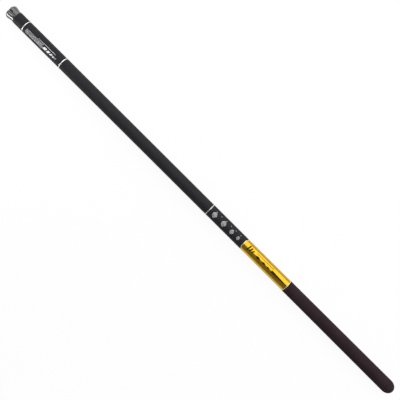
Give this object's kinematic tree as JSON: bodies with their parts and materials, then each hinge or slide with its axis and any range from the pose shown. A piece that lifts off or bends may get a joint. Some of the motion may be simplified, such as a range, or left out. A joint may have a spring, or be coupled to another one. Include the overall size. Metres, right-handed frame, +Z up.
{
  "type": "telescopic fishing pole",
  "caption": "Telescopic carp pole closed for carrying: tapered black tubes nested in a handle tube with a gold band, a matt grip, a screwed rubber butt cap and a smoke-grey front plug.",
  "frame": {"origin": "on the floor under the middle of the closed pole, which lies on its side", "axes": "+X along the pole from the butt to the front plug, +Y to its left, +Z up"},
  "size_m": [1.3, 0.0346, 0.0346],
  "materials": {
    "satin_blank": "satin black lacquer over carbon",
    "satin_wrap": "satin black lacquer over a carbon wrap",
    "gold_foil": "gold foil under clear lacquer",
    "soft_grip": "matt soft-touch sleeve",
    "ring_aluminium": "turned aluminium",
    "cap_plastic": "moulded black plastic",
    "butt_rubber": "matt moulded rubber",
    "pad_foam": "dense foam",
    "seal_rubber": "smooth rubber",
    "gloss_blank": "ground and lacquered carbon",
    "whipping": "resined thread whipping",
    "solid_tip": "painted solid tip",
    "connector_plastic": "moulded black plastic",
    "lock_plastic": "moulded grey plastic",
    "smoke_plug": "translucent smoke-grey soft plastic"
  },
  "bodies": {
    "butt": {"butt_section": "satin_blank", "butt_mouth_wrap": "satin_wrap", "foil_band": "gold_foil", "grip_sleeve": "soft_grip", "threaded_ring": "ring_aluminium"},
    "fourth": {"section_4": "gloss_blank", "section_4_mouth_wrap": "whipping"},
    "third": {"section_3": "gloss_blank", "section_3_mouth_wrap": "whipping"},
    "second": {"section_2": "gloss_blank", "section_2_mouth_wrap": "whipping"},
    "tip": {"tip_section": "gloss_blank", "splice_wrap": "whipping", "solid_tip": "solid_tip", "line_connector": "connector_plastic"},
    "line_lock": {"lock_sleeve": "lock_plastic"},
    "plug": {"front_plug": "smoke_plug"},
    "seal": {"cap_seal": "seal_rubber"},
    "cap": {"cap_core": "cap_plastic", "cap_bumper": "butt_rubber", "cap_pad": "pad_foam"}
  },
  "joints": [
    {"name": "fourth_slide", "type": "slide", "parent": "butt", "child": "fourth", "axis": [1, 0, 0], "range_m": [0, 1.1464]},
    {"name": "third_slide", "type": "slide", "parent": "fourth", "child": "third", "axis": [1, 0, 0], "range_m": [0, 1.1224]},
    {"name": "second_slide", "type": "slide", "parent": "third", "child": "second", "axis": [1, 0, 0], "range_m": [0, 1.1264]},
    {"name": "tip_slide", "type": "slide", "parent": "second", "child": "tip", "axis": [1, 0, 0], "range_m": [0, 1.1304]},
    {"name": "lock_slide", "type": "slide", "parent": "tip", "child": "line_lock", "axis": [-1, 0, 0], "range_m": [0, 0.0042]},
    {"name": "plug_pull", "type": "slide", "parent": "tip", "child": "plug", "axis": [1, 0, 0], "range_m": [0, 0.05]},
    {"name": "cap_lift", "type": "slide", "parent": "butt", "child": "seal", "axis": [-1, 0, 0], "range_m": [0, 0.0101]},
    {"name": "cap_turn", "type": "hinge", "parent": "seal", "child": "cap", "pos_m": [-0.63, 0, 0.0173], "axis": [-1, 0, 0], "range_deg": [0, 1800]}
  ],
  "couplings": [
    {"joint": "cap_lift", "follows": "cap_turn", "m_per_rad": 0.00031831}
  ]
}
